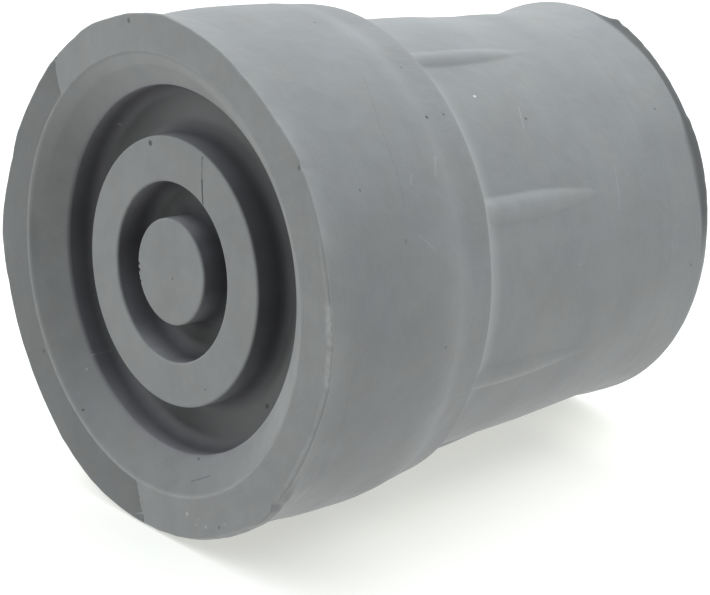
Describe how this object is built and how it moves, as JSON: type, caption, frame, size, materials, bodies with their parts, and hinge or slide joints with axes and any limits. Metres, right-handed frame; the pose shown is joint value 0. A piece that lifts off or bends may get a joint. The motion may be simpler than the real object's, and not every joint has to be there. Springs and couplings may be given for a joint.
{
  "type": "cane tip",
  "caption": "Moulded rubber cane tip: a ribbed tube with a blind socket on a wide round foot with a ringed, dished tread.",
  "frame": {"origin": "centre of the tread plane, the flat land that meets the ground", "axes": "+Z along the axis from the tread to the mouth, out of the socket; one rib lies along +X and one along +Y"},
  "size_m": [0.0384, 0.0384, 0.0407],
  "materials": {
    "grey_rubber": "matt moulded rubber, slightly chalky and mottled"
  },
  "bodies": {
    "root": {"cane_tip": "grey_rubber"}
  },
  "joints": []
}
